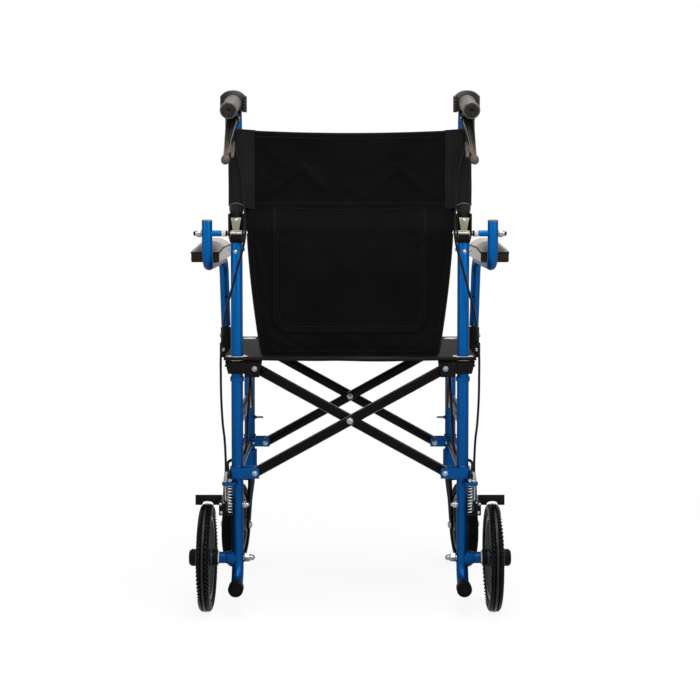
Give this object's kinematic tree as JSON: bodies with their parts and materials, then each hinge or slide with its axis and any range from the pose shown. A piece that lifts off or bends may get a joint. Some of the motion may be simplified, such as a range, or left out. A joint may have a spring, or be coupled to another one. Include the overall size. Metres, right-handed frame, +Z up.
{
  "type": "folding wheelchair",
  "caption": "Folding transport wheelchair with cross braces, flip-up armrests, a half-fold back, handgrips with cable brakes, small rear wheels and front casters.",
  "frame": {"origin": "on the floor, below the middle of the chair's bounding box", "axes": "+Z up, +Y towards the chair's front, left side at -X"},
  "size_m": [0.6, 0.6, 0.9632],
  "materials": {
    "blue_paint": "satin",
    "black_plastic": "matte",
    "black_paint": "satin",
    "grip_foam": "matte",
    "cap_rubber": "matte",
    "tyre_rubber": "matte",
    "grey_plastic": "satin",
    "zinc": "satin",
    "black_cloth": "matte"
  },
  "bodies": {
    "left_side_frame": {"rear_post_left": "blue_paint", "front_post_left": "blue_paint", "upper_side_rail_left": "blue_paint", "lower_side_rail_left": "blue_paint", "tipping_tube_cap_left": "cap_rubber", "back_hinge_left": "black_plastic", "armrest_socket_left": "black_plastic", "parking_brake_cable_left": "black_plastic", "brake_spring_left": "zinc", "back_flap": "black_cloth", "back_pocket": "black_cloth"},
    "brace_arms_a": {"rear_brace_arm_a": "black_paint", "front_brace_arm_a": "black_paint"},
    "brace_arms_b": {"rear_brace_arm_b": "black_paint", "front_brace_arm_b": "black_paint"},
    "right_side_frame": {"rear_post_right": "blue_paint", "front_post_right": "blue_paint", "upper_side_rail_right": "blue_paint", "lower_side_rail_right": "blue_paint", "tipping_tube_cap_right": "cap_rubber", "back_hinge_right": "black_plastic", "armrest_socket_right": "black_plastic", "parking_brake_cable_right": "black_plastic", "brake_spring_right": "zinc"},
    "left_seat_slide": {"rear_seat_slider_left": "black_plastic", "front_seat_block_left": "black_plastic", "seat_rail_left": "black_paint", "seat_sling": "black_cloth"},
    "left_back": {"back_cane_left": "blue_paint", "handgrip_left": "grip_foam", "brake_clamp_left": "black_plastic", "attendant_brake_cable_left": "black_plastic", "back_upholstery": "black_cloth"},
    "left_back_latch": {"back_latch_left": "zinc"},
    "left_brake_lever": {"brake_lever_left": "grip_foam"},
    "left_armrest": {"armrest_tube_left": "blue_paint", "armrest_pad_left": "grip_foam"},
    "left_wheel_brake": {"wheel_brake_arm_left": "black_plastic"},
    "left_rear_wheel": {"rear_wheel_left": "grey_plastic", "rear_tyre_left": "tyre_rubber"},
    "left_caster_fork": {"caster_fork_left": "black_paint"},
    "left_caster_wheel": {"caster_wheel_left": "grey_plastic", "caster_tyre_left": "tyre_rubber"},
    "right_seat_slide": {"rear_seat_slider_right": "black_plastic", "front_seat_block_right": "black_plastic", "seat_rail_right": "black_paint"},
    "right_back": {"back_cane_right": "blue_paint", "handgrip_right": "grip_foam", "brake_clamp_right": "black_plastic", "attendant_brake_cable_right": "black_plastic"},
    "right_back_latch": {"back_latch_right": "zinc"},
    "right_brake_lever": {"brake_lever_right": "grip_foam"},
    "right_armrest": {"armrest_tube_right": "blue_paint", "armrest_pad_right": "grip_foam"},
    "right_wheel_brake": {"wheel_brake_arm_right": "black_plastic"},
    "right_rear_wheel": {"rear_wheel_right": "grey_plastic", "rear_tyre_right": "tyre_rubber"},
    "right_caster_fork": {"caster_fork_right": "black_paint"},
    "right_caster_wheel": {"caster_wheel_right": "grey_plastic", "caster_tyre_right": "tyre_rubber"}
  },
  "joints": [
    {"name": "fold", "type": "hinge", "parent": "left_side_frame", "child": "brace_arms_a", "pos_m": [-0.1762, -0.1244, 0.2613], "axis": [0, -1, 0], "range_deg": [0, 42], "deforming": ["seat_sling", "back_upholstery", "back_flap", "back_pocket"]},
    {"name": "brace_cross", "type": "hinge", "parent": "brace_arms_a", "child": "brace_arms_b", "pos_m": [0, -0.1244, 0.3585], "axis": [0, -1, 0], "range_deg": [-84, 0]},
    {"name": "right_side_pivot", "type": "hinge", "parent": "brace_arms_b", "child": "right_side_frame", "pos_m": [0.1762, -0.1244, 0.2613], "axis": [0, -1, 0], "range_deg": [0, 42]},
    {"name": "left_seat_pivot", "type": "hinge", "parent": "brace_arms_b", "child": "left_seat_slide", "pos_m": [-0.1762, -0.1244, 0.4557], "axis": [0, -1, 0], "range_deg": [0, 42]},
    {"name": "right_seat_pivot", "type": "hinge", "parent": "brace_arms_a", "child": "right_seat_slide", "pos_m": [0.1762, -0.1244, 0.4557], "axis": [0, -1, 0], "range_deg": [-42, 0]},
    {"name": "left_back_fold", "type": "hinge", "parent": "left_side_frame", "child": "left_back", "pos_m": [-0.2095, -0.1364, 0.7055], "axis": [1, 0, 0], "range_deg": [0, 116], "deforming": ["attendant_brake_cable_left", "back_upholstery", "back_flap", "back_pocket"]},
    {"name": "left_back_latch_tip", "type": "hinge", "parent": "left_back", "child": "left_back_latch", "pos_m": [-0.2095, -0.1364, 0.7342], "axis": [-1, 0, 0], "range_deg": [0, 20], "stiffness_Nm_per_rad": 0.05, "springref_deg": -11.46},
    {"name": "left_lever_squeeze", "type": "hinge", "parent": "left_back", "child": "left_brake_lever", "pos_m": [-0.2095, -0.1814, 0.915], "axis": [-1, 0, 0], "range_deg": [0, 24], "stiffness_Nm_per_rad": 0.5, "springref_deg": -11.46},
    {"name": "left_brake_press", "type": "hinge", "parent": "left_side_frame", "child": "left_wheel_brake", "pos_m": [-0.23, -0.1244, 0.2], "axis": [-1, 0, 0], "range_deg": [0, 8], "deforming": ["brake_spring_left"]},
    {"name": "left_armrest_flip", "type": "hinge", "parent": "left_side_frame", "child": "left_armrest", "pos_m": [-0.264, -0.1364, 0.7055], "axis": [1, 0, 0], "range_deg": [0, 105]},
    {"name": "left_wheel_spin", "type": "hinge", "parent": "left_side_frame", "child": "left_rear_wheel", "pos_m": [-0.267, -0.1244, 0.1], "axis": [1, 0, 0], "continuous": true},
    {"name": "left_caster_swivel", "type": "hinge", "parent": "left_side_frame", "child": "left_caster_fork", "pos_m": [-0.232, 0.2476, 0.21], "axis": [0, 0, 1], "continuous": true},
    {"name": "left_caster_spin", "type": "hinge", "parent": "left_caster_fork", "child": "left_caster_wheel", "pos_m": [-0.23763, 0.21204, 0.088], "axis": [0.9877, -0.1564, 0], "continuous": true},
    {"name": "right_back_fold", "type": "hinge", "parent": "right_side_frame", "child": "right_back", "pos_m": [0.2095, -0.1364, 0.7055], "axis": [1, 0, 0], "range_deg": [0, 116], "deforming": ["attendant_brake_cable_right"]},
    {"name": "right_back_latch_tip", "type": "hinge", "parent": "right_back", "child": "right_back_latch", "pos_m": [0.2095, -0.1364, 0.7342], "axis": [-1, 0, 0], "range_deg": [0, 20], "stiffness_Nm_per_rad": 0.05, "springref_deg": -11.46},
    {"name": "right_lever_squeeze", "type": "hinge", "parent": "right_back", "child": "right_brake_lever", "pos_m": [0.2095, -0.1814, 0.915], "axis": [-1, 0, 0], "range_deg": [0, 24], "stiffness_Nm_per_rad": 0.5, "springref_deg": -11.46},
    {"name": "right_brake_press", "type": "hinge", "parent": "right_side_frame", "child": "right_wheel_brake", "pos_m": [0.23, -0.1244, 0.2], "axis": [-1, 0, 0], "range_deg": [0, 8], "deforming": ["brake_spring_right"]},
    {"name": "right_armrest_flip", "type": "hinge", "parent": "right_side_frame", "child": "right_armrest", "pos_m": [0.264, -0.1364, 0.7055], "axis": [1, 0, 0], "range_deg": [0, 105]},
    {"name": "right_wheel_spin", "type": "hinge", "parent": "right_side_frame", "child": "right_rear_wheel", "pos_m": [0.267, -0.1244, 0.1], "axis": [1, 0, 0], "continuous": true},
    {"name": "right_caster_swivel", "type": "hinge", "parent": "right_side_frame", "child": "right_caster_fork", "pos_m": [0.232, 0.2476, 0.21], "axis": [0, 0, 1], "continuous": true},
    {"name": "right_caster_spin", "type": "hinge", "parent": "right_caster_fork", "child": "right_caster_wheel", "pos_m": [0.23763, 0.21204, 0.088], "axis": [0.9877, 0.1564, 0], "continuous": true}
  ],
  "couplings": [
    {"joint": "brace_cross", "follows": "fold", "ratio": -2},
    {"joint": "right_side_pivot", "follows": "fold", "ratio": 1},
    {"joint": "left_seat_pivot", "follows": "fold", "ratio": 1},
    {"joint": "right_seat_pivot", "follows": "fold", "ratio": -1},
    {"joint": "right_back_fold", "follows": "left_back_fold", "ratio": 1},
    {"joint": "left_brake_press", "follows": "left_lever_squeeze", "ratio": 0.3333},
    {"joint": "right_brake_press", "follows": "right_lever_squeeze", "ratio": 0.3333}
  ]
}
